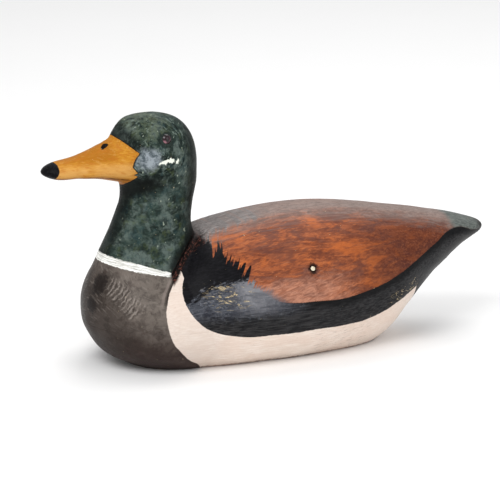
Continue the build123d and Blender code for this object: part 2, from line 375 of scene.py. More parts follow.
def detail_head(mesh):
    """Eyelids, nostrils and the modelling of the bill."""
    x, y, z = (coords(mesh) / MM).T
    side = np.abs(x)
    eye = np.hypot(y - EYE_Y, z - EYE_Z)
    eyelid = EYELID_LIFT * np.exp(-(((eye - EYELID_R) / EYELID_WIDTH) ** 2))
    lift = np.where(side > 10, eyelid, 0)
    # Nostril: a slit that rises to the rear.
    run_y, run_z = NOSTRIL_RUN
    along = (y - NOSTRIL_Y) * run_y + (z - NOSTRIL_Z) * run_z
    across = -(y - NOSTRIL_Y) * run_z + (z - NOSTRIL_Z) * run_y
    slit = (along / NOSTRIL_HALF_LENGTH) ** 2 + (across / NOSTRIL_HALF_WIDTH) ** 2
    lift -= np.where(z > 180, NOSTRIL_DEPTH * np.exp(-(slit**1.4)), 0)
    # The forehead leans back above the bill.
    height = np.exp(-(((z - FOREHEAD_Z) / FOREHEAD_REACH) ** 2))
    lift -= FOREHEAD_LEAN * smooth(-122, -131, y) * height
    # The bill narrows between its ridge and its cutting edges.
    bill = smooth(-132, -144, y) * smooth(-196, -180, y)
    waist = np.exp(-(((z - WAIST_Z) / WAIST_REACH) ** 2)) * smooth(4, 9, side)
    lift -= WAIST_DEPTH * bill * waist
    push(mesh, lift)


# ---------------------------------------------------------------- shader helpers

class Tree:
    """Short ways to add nodes to one material."""

    def __init__(self, name):
        self.material = bpy.data.materials.new(name)
        self.material.use_nodes = True
        self.nodes = self.material.node_tree.nodes
        self.links = self.material.node_tree.links
        self.nodes.clear()
        out = self.nodes.new("ShaderNodeOutputMaterial")
        self.shader = self.nodes.new("ShaderNodeBsdfPrincipled")
        self.links.new(self.shader.outputs[0], out.inputs[0])
        where = self.nodes.new("ShaderNodeTexCoord").outputs["Object"]
        scale = self.nodes.new("ShaderNodeVectorMath")
        scale.operation = "SCALE"
        scale.inputs["Scale"].default_value = 1 / MM
        self.links.new(where, scale.inputs[0])
        self.p = scale.outputs[0]
        split = self.nodes.new("ShaderNodeSeparateXYZ")
        self.links.new(self.p, split.inputs[0])
        self.x, self.y, self.z = split.outputs

    def put(self, value, socket):
        if isinstance(value, bpy.types.NodeSocket):
            self.links.new(value, socket)
        else:
            socket.default_value = value

    def math(self, operation, *values, clamp=False):
        node = self.nodes.new("ShaderNodeMath")
        node.operation = operation
        node.use_clamp = clamp
        for i, value in enumerate(values):
            self.put(value, node.inputs[i])
        return node.outputs[0]

    def chain(self, operation, values):
        """The operation done on the first two values, then on the result and the next."""
        total = values[0]
        for value in values[1:]:
            total = self.math(operation, total, value)
        return total

    def add(self, *values):
        return self.chain("ADD", values)

    def mul(self, *values):
        return self.chain("MULTIPLY", values)

    def lowest(self, *values):
        return self.chain("MINIMUM", values)

    def highest(self, *values):
        return self.chain("MAXIMUM", values)

    def sub(self, a, b):
        return self.math("SUBTRACT", a, b)

    def size(self, value):
        return self.math("ABSOLUTE", value)

    def fray(self, value, amount):
        """The value made uneven, so that an edge drawn from it is ragged."""
        return self.add(value, self.mul(self.ragged, amount))

    def step(self, value, low, high, to=(0.0, 1.0)):
        """Smooth rise from low to high, kept within its ends."""
        node = self.nodes.new("ShaderNodeMapRange")
        node.interpolation_type = "SMOOTHSTEP"
        self.put(value, node.inputs["Value"])
        node.inputs["From Min"].default_value = low
        node.inputs["From Max"].default_value = high
        node.inputs["To Min"].default_value = to[0]
        node.inputs["To Max"].default_value = to[1]
        return node.outputs[0]

    def curve(self, value, points, handle="AUTO_CLAMPED"):
        """A curve through (input, output) points, in millimetres."""
        xs, ys = [a for a, _ in points], [b for _, b in points]
        low, span = min(xs), max(xs) - min(xs)
        base, rise = min(ys), max(max(ys) - min(ys), 1e-6)
        node = self.nodes.new("ShaderNodeFloatCurve")
        line = node.mapping.curves[0]
        line.points[0].location = (0, (points[0][1] - base) / rise)
        line.points[1].location = (1, (points[-1][1] - base) / rise)
        for a, b in points[1:-1]:
            line.points.new((a - low) / span, (b - base) / rise)
        for point in line.points:
            point.handle_type = handle
        node.mapping.update()
        unit = self.math("MULTIPLY_ADD", value, 1 / span, -low / span, clamp=True)
        self.links.new(unit, node.inputs["Value"])
        return self.math("MULTIPLY_ADD", node.outputs[0], rise, base)

    def stretch(self, scale, turn=(0, 0, 0), shift=(0, 0, 0)):
        """Object position in millimetres in axes turned by turn, times scale along each."""
        node = self.nodes.new("ShaderNodeMapping")
        node.vector_type = "TEXTURE"
        node.inputs["Rotation"].default_value = [radians(a) for a in turn]
        node.inputs["Scale"].default_value = [1 / a for a in scale]
        node.inputs["Location"].default_value = [-a * 37 for a in shift]
        self.links.new(self.p, node.inputs["Vector"])
        return node.outputs[0]

    def noise(self, vector, scale=1.0, detail=3.0, rough=0.5, warp=0.0):
        """Noise from 0 to 1, centred on 0.5."""
        node = self.nodes.new("ShaderNodeTexNoise")
        self.put(vector, node.inputs["Vector"])
        node.inputs["Scale"].default_value = scale
        node.inputs["Detail"].default_value = detail
        node.inputs["Roughness"].default_value = rough
        node.inputs["Distortion"].default_value = warp
        return node.outputs["Fac"]

    def length(self, a, b):
        return self.math("SQRT", self.add(self.mul(a, a), self.mul(b, b)))

    def rings_about(self, y, z, across, along):
        """Noise drawn out into short arcs about a line parallel to X; across and along are
        in strokes per millimetre of radius and per radian."""
        dy, dz = self.add(self.y, -y), self.add(self.z, -z)
        radius = self.length(dy, dz)
        angle = self.math("ARCTAN2", dz, dy)
        node = self.nodes.new("ShaderNodeCombineXYZ")
        self.links.new(self.mul(radius, across), node.inputs[0])
        self.links.new(self.mul(angle, along), node.inputs[1])
        self.links.new(self.mul(self.x, 0.12), node.inputs[2])
        return self.noise(node.outputs[0], 1.0, 3.0, 0.6, 0.4)

    def distance(self, y, z, squash=1.0):
        """Distance from a line parallel to X, with heights counted squash times."""
        return self.length(self.add(self.y, -y), self.mul(self.add(self.z, -z), squash))

    def mix(self, amount, a, b):
        """Colour a where the amount is 0 and colour b where it is 1."""
        node = self.nodes.new("ShaderNodeMix")
        node.data_type = "RGBA"
        self.put(amount, node.inputs["Factor"])
        colours = [s for s in node.inputs if s.type == "RGBA"]
        for value, socket in zip((a, b), colours):
            self.put(value if isinstance(value, bpy.types.NodeSocket) else (*value, 1.0), socket)
        return [s for s in node.outputs if s.type == "RGBA"][0]

    def over(self, base, tone, *amounts):
        """The tone laid over the base, as strongly as the product of the amounts."""
        return self.mix(self.mul(*amounts), base, tone)

    def bump(self, height, distance, strength):
        node = self.nodes.new("ShaderNodeBump")
        node.inputs["Strength"].default_value = strength
        node.inputs["Distance"].default_value = distance
        self.links.new(height, node.inputs["Height"])
        return node.outputs[0]

    def finish(self, colour, roughness, normal=None, **constants):
        self.put(colour, self.shader.inputs["Base Color"])
        self.put(roughness, self.shader.inputs["Roughness"])
        if normal is not None:
            self.links.new(normal, self.shader.inputs["Normal"])
        for key, value in constants.items():
            self.shader.inputs[key.replace("_", " ")].default_value = value
        return self.material


def rgb(r, g, b):
    """Linear colour from the usual sRGB numbers, 0 to 255."""
    parts = [c / 255 for c in (r, g, b)]
    return tuple(c / 12.92 if c <= 0.04045 else ((c + 0.055) / 1.055) ** 2.4 for c in parts)


# ---------------------------------------------------------------- the paint

def shared_values(t):
    """Noises and measures that several of the painted zones use."""
    t.ragged = t.sub(t.noise(t.p, 0.35, 3.0, 0.6), 0.5)
    t.fine = t.sub(t.noise(t.p, 1.1, 2.0, 0.6), 0.5)
    t.broad = t.noise(t.p, 0.035, 3.0, 0.55)
    t.tone = t.noise(t.stretch((0.05, 0.03, 0.05), shift=(9, 1, 4)), 1.0, 4.0, 0.6, 0.6)
    t.brush = t.noise(t.stretch((0.9, 0.07, 0.9)), 1.0, 4.0, 0.6)
    t.streak = t.noise(t.stretch((0.28, 0.022, 0.28)), 1.0, 5.0, 0.62, 0.6)
    t.grain = t.noise(t.stretch((1.7, 0.05, 1.7), shift=(4, 0, 7)), 1.0, 3.0, 0.6, 0.3)
    t.flow = t.noise(t.stretch((0.11, 0.018, 0.11), (-7, 0, 0), (2, 5, 1)), 1.0, 5.0, 0.65, 1.6)
    t.scrapes = t.noise(t.stretch((0.16, 0.03, 0.16), (0, 0, 4), (2, 7, 1)), 1.0, 6.0, 0.7, 0.8)
    # Where the flat bottom and its edge are rubbed.
    t.rub = t.step(t.fray(t.z, 5.0), 2.2, 0.4)
    t.side = t.size(t.x)
    # Height above the plane that the white neck ring lies in.
    t.tilt = t.add(t.z, t.mul(t.add(t.y, -SEAT_Y), 0.24))
    t.crease = t.curve(t.y, CREASE)
    # Height above the lower edge of the brown back.
    brown_edge = t.curve(
        t.y,
        [(-60, 72), (-42, 70), (-19, 57), (-3, 54.7), (15, 54.1), (36, 52.8), (59, 55), (75, 57.6),
         (92, 62.3), (117, 72.2), (140, 81.6), (159, 88.0), (163, 88.3), (177, 85.2), (183, 82.6), (200, 80)],
    )
    t.above = t.add(t.sub(t.z, brown_edge), t.mul(t.fine, 1.2))


def cream_paint(t):
    """Cream sides with scuffs and hairs, rubbed through along the flat bottom."""
    cream = t.mix(t.step(t.brush, 0.35, 0.7), rgb(226, 209, 196), rgb(242, 230, 220))
    cream = t.over(cream, rgb(224, 200, 184), t.step(t.tone, 0.42, 0.64), 0.4)
    cream = t.over(cream, rgb(214, 196, 184), t.step(t.y, -20, 110), 0.35)
    cream = t.over(cream, rgb(204, 190, 180), t.step(t.y, -50, -90), 0.5)
    scuff = t.noise(t.stretch((0.5, 0.12, 0.9), (8, 0, 0)), 1.0, 6.0, 0.75)
    zone = t.mul(t.step(t.y, 5, 30), t.step(t.y, 80, 60), t.step(t.z, 32, 22))
    cream = t.over(cream, rgb(150, 132, 120), t.step(scuff, 0.55, 0.63), zone, 0.6)
    hair = t.noise(t.stretch((1.4, 0.35, 1.4), (30, 0, 0)), 1.0, 3.0, 0.7)
    cream = t.over(cream, rgb(184, 160, 146), t.step(hair, 0.60, 0.68), 0.35)
    bottom = t.mix(t.step(t.tone, 0.38, 0.62), rgb(112, 76, 62), rgb(150, 112, 94))
    bottom = t.over(bottom, rgb(196, 172, 144), t.step(t.scrapes, 0.54, 0.62), 0.75)
    bottom = t.over(bottom, rgb(78, 50, 42), t.step(t.scrapes, 0.44, 0.36), 0.6)
    return t.over(cream, bottom, t.rub, 0.85)


def dark_paint(t):
    """Black band, with charcoal paint lightened to slate by painted sheen on the shoulder above it in front,
    painted shade under the brown edge and a painted reflection under the stern.
    """
    tar = t.mix(t.step(t.brush, 0.35, 0.65), rgb(20, 20, 22), rgb(52, 51, 52))
    tar = t.over(tar, rgb(80, 80, 79), t.step(t.grain, 0.55, 0.75), 0.4)
    fleck = t.noise(t.p, 0.5, 3.0, 0.7)
    tar = t.over(tar, rgb(62, 68, 70), t.step(fleck, 0.58, 0.68), 0.35)
    # Painted reflection: the black is lightened to grey under the stern, where the tail turns under.
    under_tail = t.fray(t.add(t.z, t.mul(t.y, -0.55)), 6.0)
    stern_reflection = t.mul(t.step(t.y, 128, 140), t.step(under_tail, -8, -22))
    tar = t.over(tar, rgb(80, 80, 78), stern_reflection, 0.35)
    # Painted shade: the black is darkened just under the edge of the brown back, towards the rear.
    near = t.mul(t.step(t.fray(t.above, 5.0), -9, -3), t.step(t.y, -20, 20))
    tar = t.over(tar, rgb(9, 9, 11), near, 0.8)
    # Painted sheen: on the shoulder the black paint is lightened to slate, with a painted highlight lighter
    # still in its middle.
    slate_sheen = t.mix(t.step(t.brush, 0.35, 0.7), rgb(50, 53, 60), rgb(92, 95, 103))
    slate_sheen = t.over(slate_sheen, rgb(126, 128, 136), t.step(fleck, 0.54, 0.66), 0.5)
    slate_sheen = t.over(slate_sheen, rgb(34, 34, 44), t.step(t.broad, 0.52, 0.42), 0.45)
    sheen_highlight = t.step(t.fray(t.distance(-36.0, 66.0, 1.4), 22.0), 34, 6)
    slate_sheen = t.over(slate_sheen, rgb(146, 146, 151), sheen_highlight, t.step(t.flow, 0.38, 0.58, to=(0.3, 0.72)))
    shoulder = t.mul(
        t.step(t.fray(t.y, 20.0), 14, -24),
        t.step(t.fray(t.z, 12.0), 42, 55),
        t.step(t.fray(t.z, 8.0), 80, 74),
    )
    return t.over(tar, slate_sheen, shoulder, 0.9)


def band_edge(t):
    """Positive on the dark side of the edge between the cream and the black."""
    front = t.curve(
        t.z,
        [(27, 10), (29.3, -42), (31.3, -56), (37.8, -78), (48, -91.3), (58.5, -98.0),
         (66, -99.2), (74, -96.6), (80, -93.0), (82.5, -93.2), (90, -97)],
    )
    under = t.curve(
        t.y,
        [(-100, 27), (-42, 29.3), (-6, 28.6), (17, 29.2), (37, 28.5), (57, 28.6), (67, 30.1),
         (85, 34.4), (94, 38), (107, 42.6), (116, 45.5), (126, 49), (200, 52)],
    )
    # Behind this the dark paint goes right down round the stern.
    t.under = t.sub(under, t.step(t.y, 119, 125, to=(0, 90)))
    return t.fray(t.lowest(t.sub(t.y, front), t.sub(t.z, t.under)), 1.3)


def brown_paint(t):
    """Red-brown brushed in short dabs, redder and darker to the rear, greyed along the crest partly by grey
    paint and partly by painted sheen.
    """
    dabs = t.noise(t.stretch((0.46, 0.12, 0.46), (13, 0, 0), (3, 3, 3)), 1.0, 5.0, 0.72, 0.8)
    drift = t.noise(t.stretch((0.085, 0.028, 0.085), (12, 0, 0), (6, 1, 2)), 1.0, 4.0, 0.6, 0.8)
    sienna = t.mix(t.step(t.flow, 0.38, 0.62), rgb(116, 62, 42), rgb(158, 88, 54))
    sienna = t.over(sienna, rgb(190, 112, 66), t.step(dabs, 0.50, 0.66), 0.55)
    sienna = t.over(sienna, rgb(84, 46, 36), t.step(dabs, 0.50, 0.36), 0.6)
    sienna = t.over(sienna, rgb(80, 44, 36), t.step(t.streak, 0.48, 0.34), 0.4)
    sienna = t.over(sienna, rgb(96, 60, 52), t.step(drift, 0.49, 0.37), 0.7)
    sienna = t.over(sienna, rgb(198, 106, 50), t.step(drift, 0.52, 0.64), 0.55)
    sienna = t.over(sienna, rgb(112, 62, 46), t.step(t.grain, 0.50, 0.68), 0.4)
    sienna = t.over(sienna, rgb(184, 130, 100), t.step(t.brush, 0.60, 0.76), 0.35)
    low = t.mul(
        t.step(t.add(t.z, t.mul(t.sub(t.flow, 0.5), 30)), 80, 64),
        t.step(t.fray(t.y, 30), 66, 16),
    )
    pink = t.mix(t.step(dabs, 0.34, 0.66), rgb(134, 90, 74), rgb(188, 138, 116))
    sienna = t.over(sienna, pink, low, 0.72)
    rear = t.step(t.add(t.y, t.mul(t.sub(t.streak, 0.5), 60)), 30, 115)
    sienna = t.over(sienna, rgb(68, 32, 25), rear, 0.68)
    speck = t.mul(rear, t.step(t.noise(t.stretch((0.7, 0.4, 0.7)), 1.0, 4.0, 0.75), 0.52, 0.64))
    sienna = t.over(sienna, rgb(146, 86, 60), speck, 0.5)
    # Painted sheen, with some grey paint: the brown turns grey along the crest of the back.
    crest = t.add(t.side, t.mul(t.sub(t.streak, 0.5), 30), t.mul(t.sub(dabs, 0.5), 16))
    crest_sheen = t.mix(t.step(dabs, 0.36, 0.64), rgb(118, 103, 97), rgb(150, 135, 128))
    return t.over(sienna, crest_sheen, t.step(crest, 36, 10), 0.9)


def back_paint(t, colour, band):
    """Brown of the back over the dark paint, with the grey (partly painted sheen) and the black (painted
    shade) in front of it.
    """
    # The front edge of the brown: where it runs, how soft it is, and its drawn-out barbs.
    feather = t.curve(
        t.z,
        [(50, -6), (58, -16), (65, -27), (74, -39), (79, -44), (84.5, -45), (92, -54),
         (99, -59), (104, -58), (108, -50), (112, -33), (116, -12), (119, 2)],
    )
    blur = t.curve(t.z, [(50, 9), (64, 8), (72, 4), (78, 1.0), (97, 1.0), (104, 5), (112, 9), (119, 12)])
    barbs = t.sub(t.noise(t.stretch((0.02, 0.02, 0.44), (45, 0, 0)), 1.0, 1.0, 0.5), 0.5)
    tips = t.sub(t.noise(t.stretch((0.03, 0.04, 0.95), (54, 0, 0), (1, 4, 2)), 1.0, 1.0, 0.5), 0.5)
    spikes = t.mul(t.add(t.mul(barbs, 22.0), t.mul(tips, 30.0)), t.step(t.z, 62, 74, to=(0.25, 1.0)))
    back = t.add(t.sub(t.y, feather), spikes, t.mul(t.ragged, 3.0), 1.0)
    in_dark = t.step(band, -0.25, 0.35)
    brown = t.mul(t.step(t.math("DIVIDE", back, blur), -0.9, 0.9), t.step(t.above, -0.35, 0.45))

    # Grey paint in front of the brown, near the neck, lightened further by painted sheen.
    grey_with_sheen = t.mix(t.step(t.brush, 0.35, 0.7), rgb(98, 93, 91), rgb(146, 140, 138))
    grey_with_sheen = t.over(grey_with_sheen, rgb(84, 72, 68), t.step(t.streak, 0.5, 0.64), 0.3)
    high = t.mul(t.step(t.fray(t.z, 9.0), 98, 105), t.step(t.y, 60, -10))
    colour = t.over(colour, grey_with_sheen, high, in_dark)
    slope = t.curve(t.y, [(-100, 14), (-88, 10), (-76, 3.5), (-62, -0.5), (-45, -2), (-20, -2)])
    wisps = t.sub(t.noise(t.stretch((0.5, 0.10, 0.5), (20, 0, 0)), 1.0, 3.0, 0.65), 0.5)
    # Painted shade: the deepest black, in the hollow behind the neck above the shoulder.
    neck_hollow_shade = t.mul(
        t.step(t.add(t.z, slope, t.mul(t.ragged, 8.0), t.mul(wisps, 26.0)), 72, 77),
        t.step(t.add(t.z, t.mul(t.ragged, 12.0), t.mul(barbs, 12.0)), 105, 100),
        t.step(t.y, -20, -40),
        in_dark,
    )
    black = t.mix(t.step(t.brush, 0.4, 0.7), rgb(9, 9, 12), rgb(24, 23, 27))
    colour = t.mix(neck_hollow_shade, colour, black)
    colour = t.mix(brown, colour, brown_paint(t))

    # Grey-green over the top of the tail, partly painted sheen, turning black at the tip.
    tail_sheen_tone = t.mix(t.step(t.brush, 0.35, 0.65), rgb(70, 76, 74), rgb(106, 113, 109))
    tail_sheen_tone = t.mix(t.step(t.fray(t.y, 6.0), 188, 197), tail_sheen_tone, rgb(24, 25, 25))
    tail = t.mul(t.step(t.fray(t.y, 10.0), 158, 166), t.step(t.above, -0.35, 0.45))
    return t.over(colour, tail_sheen_tone, tail, 0.95)


def blot(t, x, z, half_wide, half_high):
    """A soft-edged spot on the breast."""
    across = t.mul(t.add(t.x, -x), 1 / half_wide)
    up = t.mul(t.add(t.z, -z), 1 / half_high)
    return t.step(t.fray(t.length(across, up), 1.6), 1.3, 0.6)


def breast_paint(t, colour):
    """Grey-brown breast: mottling, painted shade low down, a swatch of feather strokes, stains and its rear
    edge.
    """
    breast = t.mix(t.step(t.broad, 0.38, 0.62), rgb(56, 48, 44), rgb(88, 79, 74))
    cloud = t.noise(t.p, 0.13, 5.0, 0.7, 0.3)
    breast = t.over(breast, rgb(40, 34, 31), t.step(cloud, 0.52, 0.40), 0.5)
    # Painted shade: the breast darkens towards the flat bottom.
    low = t.step(t.add(t.z, t.mul(t.ragged, 24.0), t.mul(t.sub(t.tone, 0.5), 50.0)), 44, 4)
    breast = t.over(breast, rgb(50, 36, 33), low, 0.8)
    breast = t.over(breast, rgb(80, 64, 60), t.step(t.tone, 0.52, 0.66), 0.3)
    front = t.mul(t.step(t.fray(t.y, 24.0), -132, -152), t.step(t.z, 96, 74))
    breast = t.over(breast, rgb(44, 38, 34), front, 0.6)
    breast = t.over(breast, rgb(116, 107, 101), t.step(t.brush, 0.58, 0.8), 0.25)
    # A swatch of light feather strokes on each side, each stroke rising to the rear. It is laid
    # out in a plane that faces outwards, a little ahead and a little up.
    level = t.add(t.mul(t.side, 0.4226), t.mul(t.y, 0.9063))
    uphill = t.add(t.mul(t.side, -0.2346), t.mul(t.y, 0.1094), t.mul(t.add(t.z, -100.0), 0.9659))
    diagonal = 0.7071
    down = t.mul(t.sub(level, uphill), diagonal)
    off = t.add(t.mul(t.add(level, uphill), diagonal), 121.6)
    bend = t.mul(off, t.add(off, 6.0), 0.035)
    strokes = t.add(down, t.mul(t.ragged, 5.0), t.mul(t.broad, 14.0), bend)
    comb = t.math("SINE", t.mul(strokes, 1.75))
    patchy = t.noise(t.p, 0.22, 2.0, 0.6)
    swatch = t.mul(
        t.step(t.fray(t.size(off), 14.0), 9.5, 4.5),
        t.step(down, -62, -54),
        t.step(down, -17, -26),
        t.step(patchy, 0.30, 0.62),
    )
    haze = t.step(t.fray(t.distance(-118.0, 74.0, 0.8), 20.0), 44, 14)
    breast = t.over(breast, rgb(116, 108, 101), haze, t.step(cloud, 0.34, 0.56, to=(0.3, 0.75)))
    breast = t.over(breast, rgb(150, 141, 134), t.step(comb, 0.0, 1.0), swatch, 0.62)
    breast = t.over(breast, rgb(40, 34, 32), t.step(comb, -0.1, -1.0), swatch, 0.6)
    arcs = t.rings_about(-118.0, 84.0, 0.9, 2.4)
    breast = t.over(breast, rgb(132, 124, 117), t.step(arcs, 0.56, 0.68), t.step(t.z, 30, 55), 0.35)
    blots = t.highest(
        blot(t, 13.0, 73.5, 7.5, 9.0),
        blot(t, 9.0, 55.0, 7.0, 7.0),
        blot(t, -31.0, 48.0, 9.0, 5.0),
    )
    breast = t.over(breast, rgb(24, 19, 18), blots, t.step(t.y, -120, -130), 0.82)
    # The rear edge of the breast, with a dark line and a pale one inside it high up.
    chest = t.curve(
        t.z,
        [(-2, -76), (4.8, -81.7), (12, -93), (21.2, -102.7), (34.9, -112.6), (52.6, -116.1),
         (65.7, -112.0), (74, -105.5), (79.7, -99.8), (84, -94.5), (90, -94)],
    )
    edge = t.fray(t.sub(chest, t.y), 1.0)
    lip = t.step(t.z, 56, 66)
    breast = t.over(breast, rgb(24, 17, 16), t.step(edge, 3.2, 1.0), lip, 0.8)
    stripe = t.mul(t.step(edge, 2.6, 3.2), t.step(edge, 6.0, 4.6), lip)
    breast = t.over(breast, rgb(134, 122, 116), stripe, 0.55)
    breast = t.over(breast, rgb(158, 134, 108), t.step(t.scrapes, 0.55, 0.62), t.rub, 0.7)
    return t.mix(t.step(edge, -0.3, 0.3), colour, breast)


def head_green(t):
    """Dark green with clouds, brush strokes, painted shade under the jaw, at the throat, forehead, nape and
    foot of the neck, and the blue-grey cheek.
    """
    green = t.mix(t.step(t.broad, 0.38, 0.62), rgb(22, 33, 29), rgb(46, 60, 55))
    cloud = t.noise(t.p, 0.075, 4.0, 0.62, 0.3)
    green = t.over(green, rgb(90, 102, 97), t.step(cloud, 0.47, 0.63), 0.8)
    mottle = t.noise(t.p, 0.20, 5.0, 0.68, 0.4)
    green = t.over(green, rgb(88, 102, 94), t.step(mottle, 0.48, 0.66), 0.4)
    green = t.over(green, rgb(11, 17, 15), t.step(mottle, 0.52, 0.36), 0.55)
    tint = t.noise(t.p, 0.11, 3.0, 0.6, 0.3)
    green = t.over(green, rgb(66, 76, 46), t.step(tint, 0.55, 0.66), 0.45)
    green = t.over(green, rgb(34, 58, 62), t.step(tint, 0.45, 0.35), 0.4)
    strokes = t.rings_about(-112.0, 182.0, 0.66, 4.6)
    upper = t.mul(t.step(t.z, 150, 168), t.step(t.noise(t.p, 0.10, 2.0), 0.32, 0.62))
    pale_strokes = t.mul(t.step(strokes, 0.54, 0.64), t.add(t.mul(upper, 0.62), 0.08))
    green = t.mix(pale_strokes, green, rgb(118, 132, 124))
    dark_strokes = t.mul(t.step(strokes, 0.46, 0.36), t.add(t.mul(upper, 0.75), 0.12))
    green = t.mix(dark_strokes, green, rgb(9, 14, 13))
    nick = t.noise(t.stretch((0.33, 0.2, 0.33), (70, 0, 0), (5, 2, 8)), 1.0, 2.0, 0.5)
    green = t.over(green, rgb(150, 160, 144), t.step(nick, 0.69, 0.74), 0.8)
    # Painted shade: darker low on the head, under the jaw.
    under_jaw_shade = t.mul(
        t.step(t.add(t.z, t.mul(t.ragged, 10.0), t.mul(t.add(t.y, 118.0), -0.3)), 138, 150),
        t.step(t.z, 164, 157),
        t.step(t.fray(t.y, 10.0), -92, -112),
    )
    green = t.over(green, rgb(6, 9, 8), under_jaw_shade, 0.93)
    olive = t.step(t.fray(t.distance(-112.0, 204.0, 1.2), 16.0), 26, 8)
    green = t.over(green, rgb(84, 92, 70), olive, t.step(mottle, 0.40, 0.56), 0.45)
    # Painted shade along the front of the forehead, above the bill.
    forehead_shade = t.mul(
        t.step(t.add(t.y, t.mul(t.sub(t.z, 186.0), 0.9), t.mul(t.ragged, 9.0)), -112, -121),
        t.step(t.z, 178, 186),
    )
    green = t.over(green, rgb(10, 16, 15), forehead_shade, 0.75)
    # Painted shade down the front of the throat.
    throat_shade = t.mul(
        t.step(t.fray(t.side, 8.0), 15, 7),
        t.step(t.y, -118, -126),
        t.step(t.z, 160, 150),
    )
    green = t.over(green, rgb(9, 13, 12), throat_shade, 0.75)
    # Painted shade down the back of the neck.
    nape_shade = t.step(t.fray(t.y, 10.0), -88, -74)
    green = t.over(green, rgb(10, 14, 13), nape_shade, 0.8)
    # Painted shade on the neck just above its joint with the shoulders.
    foot = t.mul(t.step(t.fray(t.sub(t.z, t.crease), 6.0), 15, 4), t.step(t.y, -108, -100))
    green = t.over(green, rgb(6, 9, 8), foot, 0.9)
    cheek = t.step(t.fray(t.distance(-114.5, 175.5, 1.1), 9.0), 13.5, 5)
    cheek_tone = t.mix(t.step(mottle, 0.36, 0.58), rgb(74, 84, 90), rgb(152, 160, 167))
    return t.over(green, cheek_tone, cheek, t.step(t.z, 150, 165), 0.85)


def neck_paint(t, colour):
    """Green, white ring and the open joint behind the neck."""
    back_of_neck = t.add(-63.5, t.step(t.z, 125, 112, to=(20, 0)))
    neck = t.lowest(t.add(t.tilt, -87.2), t.sub(t.z, t.crease), t.sub(back_of_neck, t.y))
    colour = t.mix(t.step(neck, -0.2, 0.4), colour, head_green(t))
    taper = t.step(t.y, -135, -98, to=(-0.3, 1.5))
    ring = t.mul(
        t.step(t.sub(t.fray(t.tilt, 2.2), taper), 86.0, 86.6),
        t.step(t.add(t.tilt, t.mul(t.ragged, 1.8), taper), 92.8, 92.0),
        t.step(t.add(t.y, t.mul(t.tilt, 0.6), t.mul(t.ragged, 4.0)), -47.2, -49.0),
    )
    lines = t.noise(t.stretch((0.10, 0.10, 1.5), (-13, 0, 0)), 1.0, 3.0, 0.6)
    white = t.mix(t.step(lines, 0.38, 0.60), rgb(190, 190, 184), rgb(246, 246, 242))
    colour = t.mix(ring, colour, white)
    joint = t.fray(t.sub(t.z, t.crease), 3.0)
    opened = t.mul(
        t.step(joint, -7.5, -5.0),
        t.step(joint, 2.2, 0.8),
        t.step(t.y, -106, -102),
        t.step(t.y, -62, -70),
    )
    hairs = t.noise(t.stretch((0.9, 0.12, 0.9), (48, 0, 0)), 1.0, 3.0, 0.7)
    raw = t.mix(t.step(hairs, 0.50, 0.62), rgb(12, 7, 6), rgb(84, 48, 40))
    dark_gap = t.step(t.size(joint), 1.6, 0.7)
    return t.mix(opened, colour, t.mix(dark_gap, raw, rgb(7, 4, 4)))


